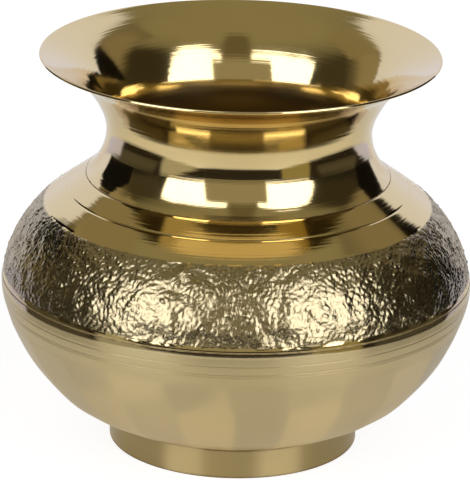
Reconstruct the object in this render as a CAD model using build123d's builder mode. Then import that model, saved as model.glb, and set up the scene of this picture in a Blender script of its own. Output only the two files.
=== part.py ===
from build123d import *
import os

# Brass kalash: a round-bellied water pot with a waisted neck, a trumpet mouth and a ring foot.
# It is made of four sheet-metal pieces, brazed together at three ring seams.
# Millimetres, +Z up.  The origin is on the pot's axis, in the plane that it stands on.

# ---- driving dimensions -------------------------------------------------------------------------
height = 120.4               # ground to the top of the mouth's edge
sheet = 0.7                  # thickness of the spun and hammered sheet
foot_sheet = 1.2             # thickness of the foot ring's strip
mouth_radius = 59.6          # outer edge of the flared mouth
neck_radius = 39.55          # narrowest place of the neck
neck_height = 97.8
belly_radius = 70.5          # widest place of the pot
belly_height = 50.2
foot_radius = 37.5           # outside of the foot ring
foot_height = 9.2            # visible height of the foot ring
bottom_clearance = 5.0       # from the ground to the underside of the pot's flat bottom
bottom_slope = 24.0          # degrees, of the cone that the foot ring is brazed to
braze_film = 0.2             # filler in a lap between two sheets
seam_gap = 0.25              # filler seen between two sheet edges on the outside
cone_above_joint = 1.5       # length of that cone outside the foot ring, along its slope
cone_below_joint = 5.0       # and inside it
foot_edge_round = 0.3        # radius on the two edges that the pot stands on
foot_fillet = 2.0            # leg of the braze fillet inside the foot ring
fillet_fullness = 0.3        # how far the fillet's hollow face fills its corner, 0 to 1

# ---- where the sheets meet, as (radius, height) on the outside -----------------------------------
crease = Vector(45.5, 83.2)          # shoulder's upper edge, where the neck begins
crease_lap = Vector(51.0, 79.2)      # inner end of the lap under the shoulder
girth = Vector(70.3, 51.9)           # upper body's lower edge, just above the widest place
girth_lap = Vector(69.3, 56.0)       # inner end of the lap under the upper body

# ---- outside shape of the sheets between those places --------------------------------------------
neck_points = [(40.4, 91.2), (neck_radius, neck_height), (42.65, 106.4), (48.2, 113.4)]
mouth_edge = (mouth_radius, height - sheet)
shoulder_points = [(64.3, 66.8), (58.0, 74.0)]
bowl_points = [(49.5, 14.7), (58.1, 22.5), (64.0, 31.3), (68.2, 40.2), (belly_radius, belly_height)]
neck_start_slope = (-1.0, 0.95)
mouth_end_slope = (2.0, 1.0)
inner_skin_steps = 9                 # points that carry an outside curve over to the inside

os.makedirs("parts", exist_ok=True)


def inward(direction):
    """Unit vector to the pot's inside, for a section line that runs from the foot to the mouth."""
    return Vector(-direction.Y, direction.X).normalized()


def inner_skin(outside):
    """The same section curve on the inside of the sheet, drawn in the active line builder."""
    steps = [index / (inner_skin_steps - 1) for index in range(inner_skin_steps)]
    points = [outside @ step + inward(outside % step) * sheet for step in steps]
    return Spline(*points, tangents=(outside % 0, outside % 1))


class Lap:
    """A brazed lap.  One sheet ends at edge; the other dips under it as far as far_end."""

    def __init__(self, edge, far_end, upward):
        out_of_lap = (edge - far_end).normalized()
        inside = inward(upward)
        depth = sheet + braze_film
        self.inside = inside
        self.seen_start = edge + out_of_lap * seam_gap
        self.tongue_root = edge + inside * depth
        self.tongue_tip = far_end + inside * depth
        self.cover_edge = edge + inside * sheet
        self.cover_far = far_end + inside * sheet
        self.edge = edge


neck_lap = Lap(crease, crease_lap, crease - crease_lap)
girth_joint = Lap(girth, girth_lap, girth_lap - girth)

# ---- mouth collar: trumpet mouth and neck, spun in one piece, with a tongue under the shoulder ---
with BuildPart() as mouth_collar:
    with BuildSketch(Plane.XZ):
        with BuildLine():
            tongue = Line(neck_lap.tongue_tip, neck_lap.tongue_root)
            Line(neck_lap.tongue_root, neck_lap.seen_start)
            neck_curve = Spline(
                neck_lap.seen_start,
                *neck_points,
                mouth_edge,
                tangents=(neck_start_slope, mouth_end_slope),
            )
            neck_inside = inner_skin(neck_curve)
            tongue_inside = Line(
                neck_lap.tongue_tip + neck_lap.inside * sheet,
                neck_lap.tongue_root + neck_lap.inside * sheet,
            )
            Line(neck_curve @ 1, neck_inside @ 1)
            Line(neck_inside @ 0, tongue_inside @ 1)
            Line(tongue_inside @ 0, tongue @ 0)
        make_face()
    revolve(axis=Axis.Z)

# ---- upper body: shoulder and the broad band above the girth -------------------------------------
with BuildPart() as upper_body:
    with BuildSketch(Plane.XZ):
        with BuildLine():
            band_foot = Line(girth, girth_lap)
            shoulder_top = Line(crease_lap, crease)
            shoulder_curve = Spline(
                girth_lap,
                *shoulder_points,
                crease_lap,
                tangents=(band_foot % 1, shoulder_top % 0),
            )
            shoulder_inside = inner_skin(shoulder_curve)
            Line(girth, girth_joint.cover_edge)
            Line(girth_joint.cover_edge, shoulder_inside @ 0)
            Line(shoulder_inside @ 1, neck_lap.cover_edge)
            Line(neck_lap.cover_edge, crease)
        make_face()
    revolve(axis=Axis.Z)

# ---- lower bowl: flat bottom, cone over the foot ring, belly, and a tongue under the upper body --
cone_run = Vector(1, 0).rotate(Axis.Z, bottom_slope)
foot_corner = Vector(foot_radius, foot_height)
cone_top = foot_corner + cone_run * cone_above_joint
cone_low = foot_corner - cone_run * cone_below_joint


def cone_height(radius):
    """Height of the bowl's underside at a radius on its cone."""
    return foot_corner.Y + (radius - foot_corner.X) * cone_run.Y / cone_run.X


with BuildPart() as lower_bowl:
    with BuildSketch(Plane.XZ):
        with BuildLine():
            cone = Line(cone_low, cone_top)
            knuckle_drop = cone_low.Y - bottom_clearance
            knuckle_radius = knuckle_drop / (1 - cone_run.X)
            flat_radius = cone_low.X - knuckle_radius * cone_run.Y
            flat_edge = Vector(flat_radius, bottom_clearance)
            knuckle = TangentArc(flat_edge, cone_low, tangent=(1, 0))
            underside = Line((0, bottom_clearance), flat_edge)
            bowl_curve = Spline(
                cone_top,
                *bowl_points,
                girth_joint.seen_start,
                tangents=(cone % 1, girth_lap - girth),
            )
            bowl_inside = inner_skin(bowl_curve)
            floor_edge = flat_edge + Vector(0, sheet)
            knuckle_inside = TangentArc(floor_edge, cone_low + inward(cone_run) * sheet, tangent=(1, 0))
            Line(knuckle_inside @ 1, bowl_inside @ 0)
            Line((0, bottom_clearance + sheet), floor_edge)
            Line((0, bottom_clearance), (0, bottom_clearance + sheet))
            Line(bowl_curve @ 1, girth_joint.tongue_root)
            bowl_tongue = Line(girth_joint.tongue_root, girth_joint.tongue_tip)
            bowl_tongue_inside = Line(
                girth_joint.tongue_root + girth_joint.inside * sheet,
                girth_joint.tongue_tip + girth_joint.inside * sheet,
            )
            Line(bowl_inside @ 1, bowl_tongue_inside @ 0)
            Line(bowl_tongue_inside @ 1, bowl_tongue @ 1)
        make_face()
    revolve(axis=Axis.Z)

# ---- foot ring: a strip bent to a ring, its upper edge cut to the cone of the bowl ----------------
foot_inner_radius = foot_radius - foot_sheet
with BuildPart() as foot_ring:
    with BuildSketch(Plane.XZ):
        with BuildLine():
            Polyline(
                (foot_inner_radius, 0),
                (foot_radius, 0),
                foot_corner,
                (foot_inner_radius, cone_height(foot_inner_radius)),
                close=True,
            )
        make_face()
    revolve(axis=Axis.Z)
    resting_edges = foot_ring.edges().group_by(Axis.Z)[0]
    fillet(resting_edges, radius=foot_edge_round)


def braze_ring_section(lap):
    """Outline of the filler in a lap: the film between the sheets and the bead in the seam."""
    Polyline(
        lap.edge,
        lap.seen_start,
        lap.tongue_root,
        lap.tongue_tip,
        lap.cover_far,
        lap.cover_edge,
        close=True,
    )


# ---- neck braze seam ------------------------------------------------------------------------------
with BuildPart() as neck_braze_seam:
    with BuildSketch(Plane.XZ):
        with BuildLine():
            braze_ring_section(neck_lap)
        make_face()
    revolve(axis=Axis.Z)

# ---- girth braze seam -----------------------------------------------------------------------------
with BuildPart() as girth_braze_seam:
    with BuildSketch(Plane.XZ):
        with BuildLine():
            braze_ring_section(girth_joint)
        make_face()
    revolve(axis=Axis.Z)

# ---- foot braze seam: a hollow fillet in the corner between the foot ring and the bowl ------------
with BuildPart() as foot_braze_seam:
    with BuildSketch(Plane.XZ):
        with BuildLine():
            corner = Vector(foot_inner_radius, cone_height(foot_inner_radius))
            on_ring = corner - Vector(0, foot_fillet)
            on_bowl = corner - cone_run * foot_fillet
            Line(on_ring, corner)
            Line(corner, on_bowl)
            chord_middle = (on_ring + on_bowl) / 2
            hollow = chord_middle + (corner - chord_middle) * fillet_fullness
            ThreePointArc(on_bowl, hollow, on_ring)
        make_face()
    revolve(axis=Axis.Z)

# ---- one file for each piece ----------------------------------------------------------------------
pieces = {
    "mouth_collar": mouth_collar,
    "upper_body": upper_body,
    "lower_bowl": lower_bowl,
    "foot_ring": foot_ring,
    "neck_braze_seam": neck_braze_seam,
    "girth_braze_seam": girth_braze_seam,
    "foot_braze_seam": foot_braze_seam,
}
for name, piece in pieces.items():
    piece.part.label = name
    export_step(piece.part, f"parts/{name}.step")
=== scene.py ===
import math

import bpy
import numpy as np
from mathutils import Matrix, Vector


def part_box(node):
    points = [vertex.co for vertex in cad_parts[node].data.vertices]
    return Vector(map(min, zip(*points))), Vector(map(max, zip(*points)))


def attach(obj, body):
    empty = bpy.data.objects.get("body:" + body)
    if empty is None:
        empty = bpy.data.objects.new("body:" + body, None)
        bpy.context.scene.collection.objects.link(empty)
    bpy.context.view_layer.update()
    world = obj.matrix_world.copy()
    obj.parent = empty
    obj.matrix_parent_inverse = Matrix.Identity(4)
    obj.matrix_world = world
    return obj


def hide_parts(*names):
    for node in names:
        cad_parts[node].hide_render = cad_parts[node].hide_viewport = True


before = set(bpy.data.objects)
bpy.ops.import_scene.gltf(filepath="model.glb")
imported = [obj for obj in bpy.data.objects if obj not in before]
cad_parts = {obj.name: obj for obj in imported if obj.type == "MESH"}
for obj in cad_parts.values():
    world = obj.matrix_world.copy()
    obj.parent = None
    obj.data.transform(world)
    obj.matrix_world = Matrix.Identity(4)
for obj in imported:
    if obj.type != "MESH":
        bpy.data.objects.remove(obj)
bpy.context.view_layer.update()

# Brass kalash: the looks of a round-bellied pot with a trumpet mouth and a ring foot.
# Sections are (radius, height) points in metres, in the frame of the CAD model.

MM = 0.001

# ---- sizes that come from the frame --------------------------------------------------------------
rim_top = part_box("mouth_collar")[1].z
rim_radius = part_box("mouth_collar")[1].x
belly_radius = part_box("lower_bowl")[1].x
bottom_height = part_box("lower_bowl")[0].z
foot_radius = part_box("foot_ring")[1].x

# ---- sizes of the sheets and joints --------------------------------------------------------------
sheet = 0.7 * MM
foot_sheet = 1.2 * MM
seam_film = 0.2 * MM                 # filler between two lapped sheets
seam_gap = 0.25 * MM                 # filler seen between two sheet edges
foot_height = 9.2 * MM
foot_cone_angle = math.radians(24)   # of the bowl where the foot ring meets it
cone_above_joint = 1.5 * MM          # length of that cone outside the foot ring
cone_below_joint = 5.0 * MM          # and inside it
foot_edge_round = 0.3 * MM           # radius on the two edges that the pot stands on
edge_round = 0.22 * MM               # softened corners of the cut edges

# ---- outside of the pot between the joints, as in the CAD model ----------------------------------
crease = np.array([45.5, 83.2]) * MM         # top of the shoulder
crease_lap = np.array([51.0, 79.2]) * MM
girth = np.array([70.3, 51.9]) * MM          # lower edge of the upper body
girth_lap = np.array([69.3, 56.0]) * MM
neck_points = np.array([(40.4, 91.2), (39.55, 97.8), (42.65, 106.4), (48.2, 113.4)]) * MM
neck_start_slope = (-1.0, 0.95)
mouth_end_slope = (2.0, 1.0)
shoulder_points = np.array([(64.3, 66.8), (58.0, 74.0)]) * MM
bowl_points = np.array([(49.5, 14.7), (58.1, 22.5), (64.0, 31.3), (68.2, 40.2), (70.5, 50.2)]) * MM

# ---- marks on the surface ------------------------------------------------------------------------
band_top = 74.0 * MM                 # upper border of the hammered band
band_foot = 53.4 * MM                # lower border; below it the sheet ends in a plain lip
lump_pitch = 3.0 * MM                # lumps of the hammered band, with creases between them
lump_height = 0.10 * MM
chip_pitch = 1.5 * MM                # smaller lumps on them
chip_height = 0.070 * MM
grain_pitch = 0.9 * MM               # grains on those
grain_height = 0.026 * MM
patch_pitch = 8.0 * MM               # broad dents, and places that the hammer left smoother
patch_height = 0.09 * MM
gore_count = 24                      # upright flats hammered round the bowl
gore_middle = 21.0 * MM              # height of their middles
upper_flat_middle = 37.0 * MM        # height of the row of short flats above them
flat_strength = 0.6                  # 0 is a round bowl and 1 is truly flat facets
flat_blend = 16.0 * MM ** 2          # softens the ridges between them
gore_rows = (                        # height of middles, squash, turn in marks, wander up and down
    (gore_middle, 0.30, 0.5, 1.0 * MM),
    (upper_flat_middle, 0.95, 0.35, 0.8 * MM),
)
gore_stray = 0.07                    # share of a mark that each middle strays sideways
planished_full = 38.0 * MM           # the flats are full below this height
planished_none = 43.0 * MM           # and gone above this one
hollow_depth = 0.075 * MM            # below this relief a place counts as a hollow and gets painted shade
band_radius = 65 * MM                # mean radius of the band
border_out = 0.2 * MM                # how far the band's relief runs past its borders
border_in = 0.3 * MM                 # and how far inside them it is at full height
border_reach = 0.4 * MM
relief_seed = 5
flats_seed = 21
shoulder_line = 79.13 * MM           # groove round the shoulder
shoulder_line_width = 0.16 * MM
shoulder_line_depth = 0.10 * MM
bowl_grooves = np.array([            # turned grooves round the bowl: height and depth
    (49.3, 0.02), (47.8, 0.08), (45.1, 0.11), (44.3, 0.11), (41.2, 0.05), (40.3, 0.06),
]) * MM
bowl_groove_width = 0.17 * MM
strip_foot = 50.1 * MM               # lower edge of the bright-turned strip below the girth joint
long_wave = 0.010 * MM               # waviness that the spinning roller left on the collar
short_wave = 0.006 * MM
inside_shade_start = 101 * MM             # the neck's inside is bright above this height
inside_shade_full = 97 * MM               # and darker and duller below this one, a painted shade of the pot's inside

# ---- fineness of the meshes ------------------------------------------------------------------------
band_step = 0.37 * MM                # between rings of the hammered band
collar_step = 0.8 * MM               # between rings of the collar
bowl_step = 0.8 * MM                 # and of the bowl
cone_step = 0.5 * MM                 # near the foot ring
cone_inner_step = 0.9 * MM           # inside the foot ring
groove_step = 0.11 * MM              # between rings near a groove of the bowl
groove_reach = 0.7 * MM
shoulder_step = 1.0 * MM
shoulder_line_step = 0.09 * MM
shoulder_line_reach = 0.6 * MM
inner_step = 1.2 * MM                # on the bowl's unseen inside
hidden_step = 3.0 * MM               # on the upper body's unseen inside
band_segments = 1152
body_segments = 512
inner_segments = 256
bottom_rings = ((0.15, 32), (0.35, 64), (0.6, 128))   # share of the flat's radius, and points


# ---- curves --------------------------------------------------------------------------------------
def unit(vector):
    return np.asarray(vector, float) / np.hypot(*vector)


def smooth_curve(points, start_slope, end_slope, step):
    """Evenly spaced points on the smooth curve through the given points."""
    points = np.asarray(points, float)
    lengths = np.hypot(*np.diff(points, axis=0).T)
    count = len(points)
    system = np.eye(count)
    slopes = np.zeros((count, 2))
    slopes[0] = unit(start_slope)
    slopes[-1] = unit(end_slope)
    for i in range(1, count - 1):
        before, after = 1 / lengths[i - 1], 1 / lengths[i]
        system[i, i - 1:i + 2] = before, 2 * (before + after), after
        slopes[i] = 3 * (
            (points[i] - points[i - 1]) * before ** 2 + (points[i + 1] - points[i]) * after ** 2
        )
    slopes = np.linalg.solve(system, slopes)
    fine = []
    for i, length in enumerate(lengths):
        t = np.linspace(0, 1, 64, endpoint=i == count - 2)[:, None]
        fine.append(
            points[i] * (1 + 2 * t) * (1 - t) ** 2
            + slopes[i] * length * t * (1 - t) ** 2
            + points[i + 1] * t ** 2 * (3 - 2 * t)
            + slopes[i + 1] * length * t ** 2 * (t - 1)
        )
    return even_spacing(np.vstack(fine), step)


def even_spacing(line, step):
    """The same line with its points about one step apart."""
    walked = distance_along(line)
    wanted = np.linspace(0, walked[-1], max(2, round(walked[-1] / step) + 1))
    return np.column_stack([np.interp(wanted, walked, line[:, axis]) for axis in (0, 1)])


def distance_along(line):
    return np.concatenate([[0], np.cumsum(np.hypot(*np.diff(line, axis=0).T))])


def finer_near(line, heights, reach, step):
    """The line with extra points close to some heights, where grooves are cut."""
    walked = distance_along(line)
    extra = [walked]
    for height in heights:
        middle = np.interp(height, line[:, 1], walked)
        extra.append(np.arange(middle - reach, middle + reach, step))
    wanted = np.unique(np.clip(np.concatenate(extra), 0, walked[-1]))
    keep = np.concatenate([[True], np.diff(wanted) > 0.35 * step])
    wanted = wanted[keep]
    return np.column_stack([np.interp(wanted, walked, line[:, axis]) for axis in (0, 1)])


def normals_out(line):
    """Unit vectors to the pot's outside along a line that runs upward."""
    along = np.gradient(line, axis=0)
    along /= np.hypot(*along.T)[:, None]
    return np.column_stack([along[:, 1], -along[:, 0]])


def rounded_end(outside, inside, radius, steps=4):
    """Points round a cut edge, from its outside corner to its inside corner."""
    across = unit(inside - outside)
    beyond = np.array([across[1], -across[0]])
    turn = np.linspace(0, math.pi / 2, steps + 1)[:, None]
    first = outside + across * radius * (1 - np.cos(turn)) - beyond * radius * (1 - np.sin(turn))
    last = inside - across * radius * (1 - np.sin(turn)) - beyond * radius * (1 - np.cos(turn))
    return np.vstack([first, last])


# ---- surfaces of revolution ----------------------------------------------------------------------
class Turned:
    """A closed shape turned round the pot's axis, collected ring by ring along its section."""

    def __init__(self):
        self.points = []
        self.faces = []
        self.rings = []
        self.shades = []
        self.inside_shade = []
        self.total = 0

    def ring(self, radius, height, count, shade=0.0, inside_shade=0.0):
        """One ring of points.  Radius, height and shade may differ from point to point."""
        turn = np.arange(count) * 2 * math.pi / count
        radius = np.broadcast_to(radius, count)
        height = np.broadcast_to(height, count)
        self.points.append(np.column_stack([radius * np.cos(turn), radius * np.sin(turn), height]))
        self.shades.append(np.broadcast_to(shade, count).astype(np.float32))
        # how much painted shade of the pot's inside each point gets
        self.inside_shade.append(np.full(count, inside_shade, np.float32))
        self.rings.append((self.total, count))
        self.total += count

    def line(self, line, count, inside_shade=0.0):
        for (radius, height), share in zip(line, np.broadcast_to(inside_shade, len(line))):
            self.ring(radius, height, count, inside_shade=share)

    def join(self, lower, upper):
        """Faces between two rings.  One may have twice the points of the other, or be a single point."""
        (first_a, count_a), (first_b, count_b) = lower, upper
        if count_a == count_b:
            i = np.arange(count_a)
            j = (i + 1) % count_a
            self.faces += np.column_stack([first_a + i, first_a + j, first_b + j, first_b + i]).tolist()
        elif 1 in (count_a, count_b):
            i = np.arange(max(count_a, count_b))
            j = (i + 1) % len(i)
            if count_a == 1:
                corners = [first_a + 0 * i, first_b + j, first_b + i]
            else:
                corners = [first_a + i, first_a + j, first_b + 0 * i]
            self.faces += np.column_stack(corners).tolist()
        else:
            self.halve(lower, upper)

    def halve(self, lower, upper):
        """Faces where the number of points round the ring halves or doubles."""
        (first_a, count_a), (first_b, count_b) = lower, upper
        coarse = min(count_a, count_b)
        i = np.arange(coarse)
        j = (i + 1) % coarse
        near, middle, far = 2 * i, 2 * i + 1, (2 * i + 2) % (2 * coarse)
        if count_a > count_b:
            fans = [
                (first_a + near, first_a + middle, first_b + i),
                (first_a + middle, first_b + j, first_b + i),
                (first_a + middle, first_a + far, first_b + j),
            ]
        else:
            fans = [
                (first_a + i, first_b + middle, first_b + near),
                (first_a + i, first_a + j, first_b + middle),
                (first_a + j, first_b + far, first_b + middle),
            ]
        for fan in fans:
            self.faces += np.column_stack(fan).tolist()

    def mesh(self, name, closed=True, sharp_angle=38):
        for lower, upper in zip(self.rings, self.rings[1:]):
            self.join(lower, upper)
        if closed:
            self.join(self.rings[-1], self.rings[0])
        mesh = bpy.data.meshes.new(name)
        mesh.from_pydata(np.vstack(self.points).tolist(), [], self.faces)
        mesh.validate()
        mesh.polygons.foreach_set("use_smooth", np.ones(len(mesh.polygons), bool))
        mesh.set_sharp_from_angle(angle=math.radians(sharp_angle))
        for label, values in (("shade", self.shades), ("inside_shade", self.inside_shade)):
            attribute = mesh.attributes.new(label, "FLOAT", "POINT")
            attribute.data.foreach_set("value", np.concatenate(values))
        piece = bpy.data.objects.new(name, mesh)
        bpy.context.scene.collection.objects.link(piece)
        return piece


def add_piece(shape, name, node, slot, material, **options):
    """The finished object: it stands for one CAD node and takes its material slot."""
    piece = shape.mesh(name, **options)
    piece.data.materials.append(material)
    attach(piece, "root")
    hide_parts(node)
    print("piece", name, "triangles", sum(len(p.vertices) - 2 for p in piece.data.polygons))
    return piece


# ---- relief --------------------------------------------------------------------------------------
def ripples(random, rows, columns, row_step, column_step, pitch, spread):
    """Random bumps of about one pitch, alike in every direction and joined round the pot."""
    down = np.fft.fftfreq(2 * rows, row_step)
    across = np.fft.rfftfreq(columns, column_step)
    frequency = np.hypot(*np.meshgrid(down, across, indexing="ij"))
    weight = np.exp(-(np.log(np.maximum(frequency * pitch, 1e-6)) / spread) ** 2)
    noise = random.standard_normal(frequency.shape) + 1j * random.standard_normal(frequency.shape)
    field = np.fft.irfft2(weight * noise, s=(2 * rows, columns))[:rows]
    return field / field.std()


def groove(height, middle, width, depth):
    """Cut of one turned groove at a height."""
    return -depth * np.exp(-((height - middle) / width) ** 2)


def smooth_step(value, low, high):
    t = np.clip((value - low) / (high - low), 0, 1)
    return t * t * (3 - 2 * t)


# ---- node trees ----------------------------------------------------------------------------------
class Tree:
    """Short calls that build one node tree."""

    def __init__(self, owner):
        owner.use_nodes = True
        self.nodes = owner.node_tree.nodes
        self.links = owner.node_tree.links
        self.nodes.clear()

    def feed(self, socket, value):
        if isinstance(value, bpy.types.NodeSocket):
            self.links.new(value, socket)
        else:
            socket.default_value = value

    def node(self, kind, inputs=None, **settings):
        node = self.nodes.new(kind)
        for name, value in settings.items():
            setattr(node, name, value)
        for name, value in (inputs or {}).items():
            self.feed(node.inputs[name], value)
        return node

    def math(self, operation, *values, clamp=False):
        inputs = dict(enumerate(values))
        return self.node("ShaderNodeMath", inputs, operation=operation, use_clamp=clamp).outputs[0]

    def between(self, value, low, high, out_low=0.0, out_high=1.0):
        """Smooth change from out_low to out_high as value goes from low to high."""
        inputs = {
            "Value": value, "From Min": low, "From Max": high, "To Min": out_low, "To Max": out_high,
        }
        return self.node("ShaderNodeMapRange", inputs, interpolation_type="SMOOTHSTEP").outputs[0]

    def mix(self, share, first, second):
        node = self.nodes.new("ShaderNodeMix")
        node.data_type = "RGBA"
        self.feed(node.inputs[0], share)
        self.feed(node.inputs[6], first)
        self.feed(node.inputs[7], second)
        return node.outputs[2]

    def noise(self, place, scale, detail=3.0, roughness=0.5):
        inputs = {"Vector": place, "Scale": scale, "Detail": detail, "Roughness": roughness}
        return self.node("ShaderNodeTexNoise", inputs).outputs[0]


# ---- brass ---------------------------------------------------------------------------------------
brass_colour = (0.83, 0.65, 0.31, 1.0)
aged_colour = (0.66, 0.47, 0.17, 1.0)
white = (1.0, 1.0, 1.0, 1.0)
edge_colour = (1.0, 0.99, 0.95, 1.0)         # of the hammered band where it is seen edge on
dull_colour = (0.435, 0.365, 0.22, 1.0)
# painted shade in the hollows of the hammered band
crease_shade_colour = (0.30, 0.23, 0.11, 1.0)
bowl_colour = (0.745, 0.59, 0.30, 1.0)
foot_colour = (0.515, 0.40, 0.185, 1.0)
# painted shade of the pot's inside, low in the neck and on the unseen insides
inside_shade_colour = (0.51, 0.38, 0.165, 1.0)
# painted shade where the foot stands on the floor and where it meets the bowl
contact_shade_colour = (0.16, 0.11, 0.045, 1.0)
filler_colour = (0.55, 0.42, 0.20, 1.0)
filler_dark_colour = (0.22, 0.15, 0.07, 1.0)


def place_on_pot(tree):
    """Sockets for the place in the pot's frame: the vector, its radius and its height."""
    place = tree.node("ShaderNodeTexCoord").outputs["Object"]
    axes = tree.node("ShaderNodeSeparateXYZ", {0: place}).outputs
    squares = tree.math("ADD", tree.math("POWER", axes[0], 2.0), tree.math("POWER", axes[1], 2.0))
    return place, tree.math("SQRT", squares), axes[2]


def turning_marks(tree, radius, height, pitch, detail=3.0):
    """Noise that changes only along the section, so it makes rings round the pot."""
    along = tree.node("ShaderNodeCombineXYZ", {0: radius, 1: height, 2: 0.0}).outputs[0]
    return tree.noise(along, 1 / pitch, detail, 0.6)


def attribute(tree, name):
    return tree.node("ShaderNodeAttribute", attribute_name=name).outputs["Fac"]


def bump(tree, height, distance):
    return tree.node("ShaderNodeBump", {"Height": height, "Distance": distance}).outputs[0]


def finish_metal(tree, colour, roughness, normal, grain, edge=white):
    """Metal whose shine is drawn out across its turning marks, grain from 0 to 1."""
    inputs = {
        "Metallic": 1.0,
        "Base Color": colour,
        "Specular Tint": edge,
        "Roughness": roughness,
        "Normal": normal,
        "Anisotropic": grain,
        "Anisotropic Rotation": 0.25,
        "Tangent": tree.node("ShaderNodeTangent", direction_type="RADIAL", axis="Z").outputs[0],
    }
    shader = tree.node("ShaderNodeBsdfPrincipled", inputs)
    output = tree.node("ShaderNodeOutputMaterial")
    tree.links.new(shader.outputs[0], output.inputs["Surface"])


def polished_brass():
    """Bright spun brass with fine turning rings and faint clouding, duller and with painted shade inside
    the neck.
    """
    material = bpy.data.materials.new("polished_brass")
    tree = Tree(material)
    place, radius, height = place_on_pot(tree)
    inside_shade = attribute(tree, "inside_shade")
    cloud = tree.noise(place, 28.0, 4.0, 0.6)
    rings = turning_marks(tree, radius, height, 1.1 * MM)
    tint = tree.mix(tree.between(cloud, 0.45, 0.75, 0.0, 0.2), brass_colour, aged_colour)
    # painted shade of the pot's inside: darker brass there, which is also rougher
    tint = tree.mix(tree.math("MULTIPLY", inside_shade, 0.9), tint, inside_shade_colour)
    rough = tree.between(cloud, 0.3, 0.7, 0.07, 0.11)
    rough = tree.math("ADD", rough, tree.math("MULTIPLY", inside_shade, 0.16))
    finish_metal(tree, tint, rough, bump(tree, rings, 0.045 * MM), 0.5)
    return material


def relief_brass():
    """The upper body: polished shoulder, and a hammered band of duller brass with painted shade in its
    hollows.
    """
    material = bpy.data.materials.new("relief_brass")
    tree = Tree(material)
    place, radius, height = place_on_pot(tree)
    inside_shade = attribute(tree, "inside_shade")
    hollow = attribute(tree, "shade")
    grain = tree.noise(place, 1500.0, 3.0, 0.6)
    rings = turning_marks(tree, radius, height, 1.0 * MM)
    below_top = tree.between(height, band_top - border_out, band_top + border_out, 1.0, 0.0)
    above_foot = tree.between(height, band_foot - border_out, band_foot + border_out)
    in_band = tree.math("MULTIPLY", below_top, above_foot)
    tint = tree.mix(tree.math("MULTIPLY", in_band, 0.85), brass_colour, dull_colour)
    # painted shade in the band's hollows and creases
    tint = tree.mix(tree.math("MULTIPLY", hollow, 0.8, clamp=True), tint, crease_shade_colour)
    # painted shade on the unseen inside: darker brass there, which is also rougher
    tint = tree.mix(tree.math("MULTIPLY", inside_shade, 0.9), tint, inside_shade_colour)
    coarse = tree.math("MULTIPLY", in_band, tree.between(grain, 0.3, 0.7, 0.08, 0.17))
    rough = tree.math("ADD", tree.math("ADD", coarse, 0.08), tree.math("MULTIPLY", inside_shade, 0.16))
    plain = tree.math("MULTIPLY", tree.math("SUBTRACT", 1.0, in_band), 0.5)
    surface = tree.math("ADD", tree.math("MULTIPLY", grain, in_band), tree.math("MULTIPLY", rings, plain))
    finish_metal(tree, tint, rough, bump(tree, surface, 0.07 * MM), 0.3, edge_colour)
    return material


def planished_brass():
    """The bowl: soft brushed brass over broad flats, with painted shade where the foot joins it."""
    material = bpy.data.materials.new("planished_brass")
    tree = Tree(material)
    place, radius, height = place_on_pot(tree)
    inside_shade = attribute(tree, "inside_shade")
    tone = attribute(tree, "shade")
    cloud = tree.noise(place, 45.0, 4.0, 0.6)
    rings = turning_marks(tree, 0.0, height, 1.6 * MM, 0.0)
    tint = tree.mix(tree.between(cloud, 0.2, 0.8, 0.0, 0.12), bowl_colour, dull_colour)
    tint = tree.mix(tree.between(tone, 0.0, 1.0, 0.0, 0.5), tint, dull_colour)
    ragged = tree.math("ADD", radius, tree.math("MULTIPLY", cloud, 1.2 * MM))
    # painted shade on the bowl close round the foot, with a ragged edge
    joint_shade = tree.between(ragged, foot_radius + 0.6 * MM, foot_radius + 1.5 * MM, 0.8, 0.0)
    tint = tree.mix(joint_shade, tint, contact_shade_colour)
    # painted shade on the unseen inside: darker brass there, which is also rougher
    tint = tree.mix(tree.math("MULTIPLY", inside_shade, 0.9), tint, inside_shade_colour)
    rough = tree.between(cloud, 0.2, 0.8, 0.285, 0.32)
    rough = tree.math("ADD", rough, tree.math("MULTIPLY", inside_shade, 0.1))
    polished = tree.between(height, strip_foot - 0.3 * MM, strip_foot + 0.3 * MM, 1.0, 0.3)
    rough = tree.math("MULTIPLY", rough, polished)
    finish_metal(tree, tint, rough, bump(tree, rings, 0.02 * MM), 0.9)
    return material


def satin_brass():
    """The foot ring: brushed round and round, with painted shade at its lower edge by the floor and at its
    top by the bowl.
    """
    material = bpy.data.materials.new("satin_brass")
    tree = Tree(material)
    place, radius, height = place_on_pot(tree)
    cloud = tree.noise(place, 60.0, 5.0, 0.6)
    rings = turning_marks(tree, radius, height, 0.5 * MM, 4.0)
    ragged = tree.math("ADD", height, tree.math("MULTIPLY", cloud, 0.8 * MM))
    # painted shade along the lower edge, where the ring stands on the floor, and along the top, where it
    # meets the bowl
    low_edge_shade = tree.between(ragged, 0.5 * MM, 1.3 * MM, 0.6, 0.0)
    joint_shade = tree.between(ragged, foot_height - 0.5 * MM, foot_height + 0.2 * MM, 0.0, 0.8)
    tint = tree.mix(tree.between(cloud, 0.4, 0.8, 0.0, 0.3), foot_colour, dull_colour)
    tint = tree.mix(tree.math("ADD", low_edge_shade, joint_shade), tint, contact_shade_colour)
    rough = tree.between(cloud, 0.3, 0.7, 0.285, 0.33)
    finish_metal(tree, tint, rough, bump(tree, rings, 0.02 * MM), 0.97)
    return material


def braze_filler():
    """Filler metal: duller than the sheets and slightly lumpy."""
    material = bpy.data.materials.new("braze_filler")
    tree = Tree(material)
    place = place_on_pot(tree)[0]
    lumps = tree.noise(place, 500.0, 4.0, 0.6)
    tint = tree.mix(tree.between(lumps, 0.3, 0.7), filler_colour, filler_dark_colour)
    rough = tree.between(lumps, 0.3, 0.7, 0.38, 0.5)
    finish_metal(tree, tint, rough, bump(tree, lumps, 0.1 * MM), 0.0)
    return material


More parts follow.
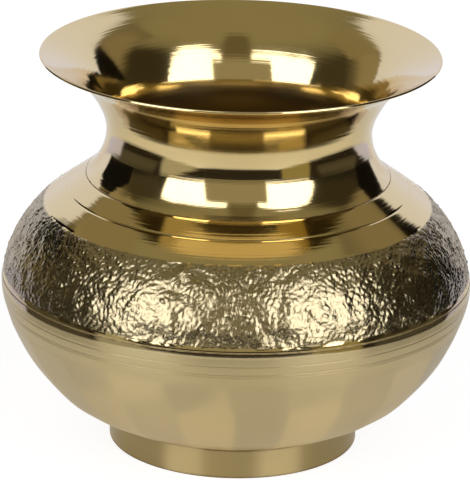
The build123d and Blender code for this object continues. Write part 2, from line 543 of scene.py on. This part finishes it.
# ---- pieces --------------------------------------------------------------------------------------
def lap_points(edge, far_end, upward):
    """Section points of a brazed lap, as in the CAD model."""
    out_of_lap = unit(edge - far_end)
    inside = unit([-upward[1], upward[0]])
    depth = sheet + seam_film
    return {
        "seen": edge + out_of_lap * seam_gap,
        "root": edge + inside * depth,
        "tip": far_end + inside * depth,
        "inside": inside,
    }


def spun_wave(line):
    """Slight waviness that the spinning roller left, about a hundredth of a millimetre."""
    walked = distance_along(line) / MM
    return long_wave * np.sin(walked * 1.1) + short_wave * np.sin(walked * 2.7 + 1.0)


def add_collar():
    """Mouth and neck, one spun sheet, with the tongue that goes under the shoulder."""
    lap = lap_points(crease, crease_lap, crease - crease_lap)
    mouth_edge = np.array([rim_radius, rim_top - sheet])
    through = np.vstack([lap["seen"], neck_points, mouth_edge])
    neck = smooth_curve(through, neck_start_slope, mouth_end_slope, collar_step)
    out = normals_out(neck)
    outside = neck + out * spun_wave(neck)[:, None]
    inside = neck - out * (sheet + 0.5 * spun_wave(neck))[:, None]
    # painted shade of the neck's inside: none near the mouth, full lower down
    inside_shade = smooth_step(inside[:, 1], inside_shade_start, inside_shade_full)
    tongue_inside = [lap["root"] + lap["inside"] * sheet, lap["tip"] + lap["inside"] * sheet]
    shape = Turned()
    shape.line([lap["tip"], lap["root"]], body_segments)
    shape.line(outside[:-1], body_segments)
    shape.line(rounded_end(outside[-1], inside[-1], edge_round), body_segments)
    shape.line(inside[-2::-1], body_segments, inside_shade[-2::-1])
    shape.line(tongue_inside, body_segments, 1.0)
    return add_piece(shape, "mouth_collar_spun", "mouth_collar", "polished_brass", polished_brass())


def hammered_relief(rows, row_step):
    """Heights of the hammered band over its rows, and how deep each place lies in a hollow, which sets the
    painted shade there.
    """
    random = np.random.default_rng(relief_seed)
    arc_step = 2 * math.pi * band_radius / band_segments
    grid = (rows, band_segments, row_step, arc_step)
    lumps = np.abs(ripples(random, *grid, lump_pitch, 0.40))
    chips = np.abs(ripples(random, *grid, chip_pitch, 0.35))
    grains = ripples(random, *grid, grain_pitch, 0.30)
    patch = ripples(random, *grid, patch_pitch, 0.45)
    rough = 0.35 + 0.80 * smooth_step(patch, 1.3, -0.4)
    height = lumps * lump_height + (chips * chip_height + grains * grain_height) * rough
    height += patch * patch_height
    height -= height.mean()
    creases = lumps * lump_height + chips * chip_height
    hollow = np.clip(1 - creases / hollow_depth, 0, 1)
    return height, hollow


def add_upper_body():
    """Polished shoulder and hammered band, down to the plain lip over the bowl."""
    through = np.vstack([girth_lap, shoulder_points, crease_lap])
    body = smooth_curve(through, girth_lap - girth, crease - crease_lap, band_step)
    lower = even_spacing(np.vstack([girth, girth_lap]), band_step)
    upper = even_spacing(np.vstack([crease_lap, crease]), band_step)
    line = np.vstack([lower[:-1], body, upper[1:]])
    out = normals_out(line)
    inside = line - out * sheet
    height = line[:, 1]
    in_band = np.flatnonzero((height > band_foot - border_reach) & (height < band_top + border_reach))
    first, last = in_band[0], in_band[-1] + 1
    border = smooth_step(height, band_foot - border_out, band_foot + border_in)
    border *= smooth_step(height, band_top + border_out, band_top - border_in)
    relief, hollow = hammered_relief(last - first, band_step)
    lip = rounded_end(inside[0], line[0], edge_round)
    shape = Turned()
    shape.line(lip[-1:], band_segments // 4)
    shape.line(line[2:first], band_segments // 2)
    for row in range(first, last):
        # each row carries its relief, and in its shade attribute the painted shade of its hollows
        rise = relief[row - first] * border[row]
        shape.ring(
            line[row, 0] + out[row, 0] * rise,
            line[row, 1] + out[row, 1] * rise,
            band_segments,
            shade=hollow[row - first] * border[row],
        )
    shoulder = even_spacing(line[last:], shoulder_step)
    shoulder = finer_near(shoulder, [shoulder_line], shoulder_line_reach, shoulder_line_step)
    cut = groove(shoulder[:, 1], shoulder_line, shoulder_line_width, shoulder_line_depth)
    shoulder = shoulder + normals_out(shoulder) * cut[:, None]
    shape.line(shoulder[:1], band_segments // 2)
    shape.line(shoulder[1:-1], band_segments // 4)
    shape.line(rounded_end(line[-1], inside[-1], edge_round), band_segments // 4)
    shape.line(even_spacing(inside[1:-1], hidden_step)[::-1], band_segments // 4, 1.0)
    shape.line(lip[:-1], band_segments // 4)
    return add_piece(
        shape, "upper_body_hammered", "upper_body", "relief_brass", relief_brass(), sharp_angle=75
    )


def hammered_flats(line, segments):
    """The bowl's hammered flats: how far it stands out between their middles, and their tone."""
    random = np.random.default_rng(flats_seed)
    walked = distance_along(line)
    turn = np.arange(segments) * 2 * math.pi / segments
    away, tones = [], []
    for middle, lengthwise, shift, wander in gore_rows:
        start = np.interp(middle, line[:, 1], walked)
        for mark in range(gore_count):
            angle = (mark + shift + random.uniform(-gore_stray, gore_stray)) * 2 * math.pi / gore_count
            centre = start + random.uniform(-wander, wander)
            sideways = (turn - angle + math.pi) % (2 * math.pi) - math.pi
            along = lengthwise * (walked - centre)[:, None]
            away.append(along ** 2 + (line[:, :1] * sideways[None, :]) ** 2)
            tones.append(random.uniform(0, 1))
    away = np.array(away)
    nearest = away.min(axis=0)
    share = np.exp((nearest - away) / flat_blend)
    tone = np.tensordot(tones, share, 1) / share.sum(axis=0)
    return (nearest - flat_blend * np.log(share.sum(axis=0))) * flat_strength / (2 * belly_radius), tone


def add_bowl():
    """Bowl from its flat bottom up to the tongue that goes under the upper body."""
    lap = lap_points(girth, girth_lap, girth_lap - girth)
    cone = np.array([math.cos(foot_cone_angle), math.sin(foot_cone_angle)])
    corner = np.array([foot_radius, foot_height])
    cone_top = corner + cone * cone_above_joint
    cone_low = corner - cone * cone_below_joint
    knuckle = (cone_low[1] - bottom_height) / (1 - cone[0])
    flat_radius = cone_low[0] - knuckle * cone[1]
    turn = np.linspace(0, foot_cone_angle, 9)[:, None]
    centre = np.array([flat_radius, bottom_height + knuckle])
    arc = centre + knuckle * np.hstack([np.sin(turn), -np.cos(turn)])
    through = np.vstack([cone_top, bowl_points, lap["seen"]])
    side = smooth_curve(through, cone, girth_lap - girth, bowl_step)
    side = finer_near(side, bowl_grooves[:, 0], groove_reach, groove_step)
    cone_line = even_spacing(np.vstack([corner - cone * cone_above_joint, cone_top]), cone_step)
    outer = np.vstack([cone_line[:-1], side])
    out = normals_out(outer)
    height = outer[:, 1]
    cut = sum(groove(height, middle, bowl_groove_width, depth) for middle, depth in bowl_grooves)
    planished = smooth_step(height, planished_none, planished_full)
    lift, tone = hammered_flats(outer, body_segments)
    lift *= planished[:, None]
    tone = 0.5 + (tone - 0.5) * planished[:, None]
    shape = Turned()
    shape.ring(0.0, bottom_height, 1)
    for share, count in bottom_rings:
        shape.ring(flat_radius * share, bottom_height, 2 * count)
    shape.line(arc, body_segments)
    shape.line(even_spacing(np.vstack([cone_low, cone_line[0]]), cone_inner_step)[1:-1], body_segments)
    for point, push, rise, notch, shade in zip(outer, out, lift, cut, tone):
        move = rise + notch
        shape.ring(point[0] + push[0] * move, point[1] + push[1] * move, body_segments, shade=shade)
    inside_out = normals_out(side)
    inside = even_spacing(side - inside_out * sheet, inner_step)
    shape.line([lap["root"], lap["tip"]], body_segments)
    tongue_inside = [lap["tip"] + lap["inside"] * sheet, lap["root"] + lap["inside"] * sheet]
    shape.line(tongue_inside, body_segments, 1.0)
    shape.line(inside[-2:0:-1], inner_segments, 1.0)
    cone_inside = np.array([cone_top, cone_low]) + np.array([-cone[1], cone[0]]) * sheet
    shape.line(even_spacing(cone_inside, inner_step), inner_segments, 1.0)
    arc_inside = centre + (knuckle - sheet) * np.hstack([np.sin(turn), -np.cos(turn)])
    shape.line(arc_inside[::-1][1:], inner_segments, 1.0)
    for share, count in reversed(bottom_rings):
        shape.ring(flat_radius * share, bottom_height + sheet, count, inside_shade=1.0)
    shape.ring(0.0, bottom_height + sheet, 1, inside_shade=1.0)
    return add_piece(
        shape, "lower_bowl_planished", "lower_bowl", "planished_brass", planished_brass(), closed=False
    )


def rounded_foot_edge(side, outward, turn):
    """Points round one standing edge of the foot ring, whose upright face is at radius side."""
    bend = foot_edge_round
    return [
        (side + outward * bend * (math.cos(angle) - 1), bend + bend * math.sin(angle)) for angle in turn
    ]


def add_foot():
    """Foot ring with softened standing edges and an upper edge cut to the bowl's slope."""
    inner = foot_radius - foot_sheet
    inner_top = foot_height - foot_sheet * math.tan(foot_cone_angle)
    turn = np.linspace(-math.pi / 2, 0, 5)
    outside = [(foot_radius, height * MM) for height in np.linspace(0.4, 8.8, 22)]
    top_corner = [
        (foot_radius - 0.08 * MM, foot_height - 0.15 * MM),
        (foot_radius - 0.25 * MM, foot_height),
    ]
    inside = [(inner, height * MM) for height in np.linspace(8.0, 0.4, 8)]
    shape = Turned()
    shape.line(rounded_foot_edge(foot_radius, 1.0, turn), body_segments)
    shape.line(outside, body_segments)
    shape.line(top_corner, body_segments)
    shape.line([(inner, inner_top)], body_segments)
    shape.line(inside, body_segments)
    shape.line(rounded_foot_edge(inner, -1.0, turn[::-1]), body_segments)
    return add_piece(shape, "foot_ring_satin", "foot_ring", "satin_brass", satin_brass())


def add_pieces():
    add_collar()
    add_upper_body()
    add_bowl()
    add_foot()
    filler = braze_filler()
    for name in ("neck_braze_seam", "girth_braze_seam", "foot_braze_seam"):
        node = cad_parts[name]
        node.data.materials.clear()
        node.data.materials.append(filler)


# ---- studio --------------------------------------------------------------------------------------
def direction(azimuth, elevation):
    """Unit vector from the pot.  Azimuth 0 is the viewer's side and 90 is to the right."""
    turn, rise = math.radians(azimuth), math.radians(elevation)
    return Vector((math.cos(rise) * math.sin(turn), -math.cos(rise) * math.cos(turn), math.sin(rise)))


def panel_mask(tree, look, corners, blur):
    """1 where the look direction falls on a panel with these corners, fading over blur degrees."""
    aims = [direction(*corner) for corner in corners]
    middle = sum(aims, Vector()).normalized()
    mask = None
    soft = math.sin(math.radians(blur))
    for here, there in zip(aims, aims[1:] + aims[:1]):
        side = here.cross(there).normalized()
        if side.dot(middle) < 0:
            side.negate()
        inputs = {0: look, 1: side}
        across = tree.node("ShaderNodeVectorMath", inputs, operation="DOT_PRODUCT").outputs["Value"]
        share = tree.between(across, -soft, soft)
        mask = share if mask is None else tree.math("MULTIPLY", mask, share)
    return mask


def add_world():
    """A dark studio: two large soft panels in front, a dim card between them, a white sweep behind."""
    world = bpy.data.worlds.new("studio")
    bpy.context.scene.world = world
    tree = Tree(world)
    look = tree.node("ShaderNodeTexCoord").outputs["Generated"]
    up = tree.node("ShaderNodeSeparateXYZ", {0: look}).outputs[2]
    colour = tree.mix(
        tree.between(up, math.sin(math.radians(26)), math.sin(math.radians(68))),
        (0.022, 0.019, 0.014, 1.0),
        (0.27, 0.25, 0.165, 1.0),
    )
    below = tree.between(up, math.sin(math.radians(-2)), math.sin(math.radians(-9)))
    colour = tree.mix(below, colour, (0.022, 0.018, 0.012, 1.0))
    softbox = (2.65, 2.7, 3.0)
    # name, corners as azimuth and elevation in degrees, blur in degrees, light
    panels = [
        ("left brown", ((-68, 8), (-100, 8), (-104, 36), (-70, 36)), 4.0, (0.055, 0.048, 0.03)),
        ("left wall", ((-100, 4), (-134, -7), (-138, 36), (-104, 38)), 4.0, (0.10, 0.088, 0.055)),
        ("left glow", ((-114, 2), (-134, -7), (-141, 36), (-138, 50), (-108, 50), (-110, 20)), 8.0,
         (0.29, 0.25, 0.165)),
        ("left ceiling", ((-104, 33.5), (-148, 33.5), (-150, 52), (-100, 56)), 1.0, (0.25, 0.22, 0.14)),
        ("right wall", ((66, 10), (112, 8), (118, 38), (66, 42)), 5.0, (0.04, 0.034, 0.02)),
        ("right ceiling", ((112, 36), (148, 34), (150, 52), (104, 56)), 1.5, (0.17, 0.15, 0.10)),
        ("left side", ((-72, -14), (-122, -16), (-117, -2), (-75, 1)), 3.0, (0.085, 0.078, 0.06)),
        ("right side", ((70, -14), (120, -14), (116, -3), (72, 0)), 3.0, (0.085, 0.078, 0.06)),
        ("viewer", ((-29, -32), (37, -32), (37, 2.5), (-29, 2.5)), 0.8, (0.027, 0.022, 0.018)),
        ("low left", ((-70, -34), (-29, -34), (-29, -19), (-54, 4), (-68, 3)), 2.5, (0.42, 0.41, 0.36)),
        ("low right", ((37, -32), (66, -32), (61, 3.5), (37, 2)), 1.2, (0.30, 0.26, 0.12)),
        ("card", ((-28, 3), (23, 3), (27.5, 42), (-28, 42)), 0.5, (0.32, 0.295, 0.22)),
        ("over card", ((-9, 42), (18, 42), (22, 72), (-10, 72)), 2.5, (0.14, 0.12, 0.07)),
        ("right glow", ((112, 22), (118, 18), (144, 34), (142, 50), (110, 50)), 6.0, (0.24, 0.205, 0.135)),
        ("right dark", ((114, -6), (136, -6), (143, 21), (141, 33), (126, 26), (114, 16)), 0.8,
         (0.006, 0.005, 0.004)),
        ("sweep", ((135, -7), (142, 21), (143, 33), (149, 47), (-149, 47), (-139, 33), (-134, 21),
         (-134, -7)), 0.8, (0.77, 0.80, 1.03)),
        ("low sweep", ((135, -7), (124, -13), (122, -24), (130, -45), (-130, -45), (-122, -24), (-119, -8),
         (-135, -7)), 2.0, (0.56, 0.58, 0.90)),
        ("back", ((148, -1), (148, -27), (-148, -27), (-148, -1)), 6.0, (0.72, 0.69, 0.72)),
        ("left softbox", ((-60, 6), (-28, 6), (-28, 41), (-61, 43), (-70, 35)), 0.5, softbox),
        ("left softbox top", ((-28, 40), (-9.5, 42), (-12, 50.5), (-38, 47.5), (-53, 44), (-61, 41)), 0.5,
         softbox),
        ("right softbox", ((23, 6), (61, 5), (66, 12), (65, 41), (27, 41)), 0.5, softbox),
        ("right softbox top", ((18.5, 40), (65, 39), (60, 48), (43, 52), (33, 51), (19, 45)), 0.5, softbox),
    ]
    for name, corners, blur, light in panels:
        colour = tree.mix(panel_mask(tree, look, corners, blur), colour, (*light, 1.0))
    background = tree.node("ShaderNodeBackground", {"Color": colour, "Strength": 1.0})
    output = tree.node("ShaderNodeOutputWorld")
    tree.links.new(background.outputs[0], output.inputs["Surface"])


def paper(name, shade, glow, gloss):
    """Studio paper of one grey shade, which may glow a little and be slightly glossy."""
    material = bpy.data.materials.new(name)
    tree = Tree(material)
    shader = tree.node("ShaderNodeBsdfPrincipled", {
        "Base Color": (shade, shade, shade, 1.0), "Roughness": 0.5, "Specular IOR Level": gloss,
        "Emission Color": (1.0, 1.0, 1.0, 1.0), "Emission Strength": glow,
    })
    output = tree.node("ShaderNodeOutputMaterial")
    tree.links.new(shader.outputs[0], output.inputs["Surface"])
    return material


def add_card(name, corners, material):
    """A flat card of the studio with these corners."""
    mesh = bpy.data.meshes.new(name)
    mesh.from_pydata([tuple(corner) for corner in corners], [], [tuple(range(len(corners)))])
    mesh.materials.append(material)
    card = bpy.data.objects.new(name, mesh)
    bpy.context.scene.collection.objects.link(card)
    return card


def level_corners(low_x, low_y, high_x, high_y, height):
    round_it = [(low_x, low_y), (high_x, low_y), (high_x, high_y), (low_x, high_y)]
    return [(*corner, height) for corner in round_it]


def add_floor():
    """A pale floor for the view, and under it the table top that the brass reflects."""
    floor = add_card("floor", level_corners(-8, -8, 8, 8, 0.0), paper("floor_paper", 0.35, 0.84, 0.0))
    floor.visible_diffuse = False
    floor.visible_glossy = False
    floor.visible_transmission = False
    floor.visible_shadow = False
    corners = level_corners(-0.19, -0.30, 0.19, 0.8, -0.1 * MM)
    table = add_card("table_top", corners, paper("table_paper", 0.88, 0.20, 0.4))
    table.visible_camera = False


def add_flag():
    """A black card close to the pot's left, out of view, that darkens the left of the shoulder."""
    eye = Vector((-42, -20, 85)) * MM
    facing = direction(-120, 10)
    distance = 100 * MM
    outline = ((-95, 4), (-116, 2), (-136, -2), (-139, 9), (-134.5, 20), (-125, 30), (-98, 23))
    corners = []
    for azimuth, elevation in outline:
        aim = direction(azimuth, elevation)
        corners.append(eye + aim * (distance / aim.dot(facing)))
    flag = add_card("flag", corners, paper("flag_paper", 0.01, 0.0, 0.0))
    flag.visible_camera = False
    flag.visible_diffuse = False
    flag.visible_shadow = False


def add_camera():
    """A long lens, a little above the mouth, with the slight roll that the picture has."""
    camera = bpy.data.cameras.new("camera")
    camera.lens = 285.0
    camera.sensor_width = 36.0
    camera.clip_start = 0.05
    camera.clip_end = 30.0
    pitch, yaw, roll = 0.3322, -0.0005, 0.0225
    place = (0.0, -1.0782, 0.43378)
    forward = Vector((math.sin(yaw) * math.cos(pitch), math.cos(yaw) * math.cos(pitch), -math.sin(pitch)))
    right = Vector((math.cos(yaw), -math.sin(yaw), 0.0))
    up = right.cross(forward)
    tilted_right = math.cos(roll) * right + math.sin(roll) * up
    tilted_up = math.cos(roll) * up - math.sin(roll) * right
    seat = bpy.data.objects.new("camera", camera)
    turn = Matrix((tilted_right, tilted_up, -forward)).transposed().to_4x4()
    seat.matrix_world = Matrix.Translation(place) @ turn
    bpy.context.scene.collection.objects.link(seat)
    bpy.context.scene.camera = seat


add_camera()
add_world()
add_floor()
add_flag()
add_pieces()
bpy.context.scene.view_settings.view_transform = "Standard"
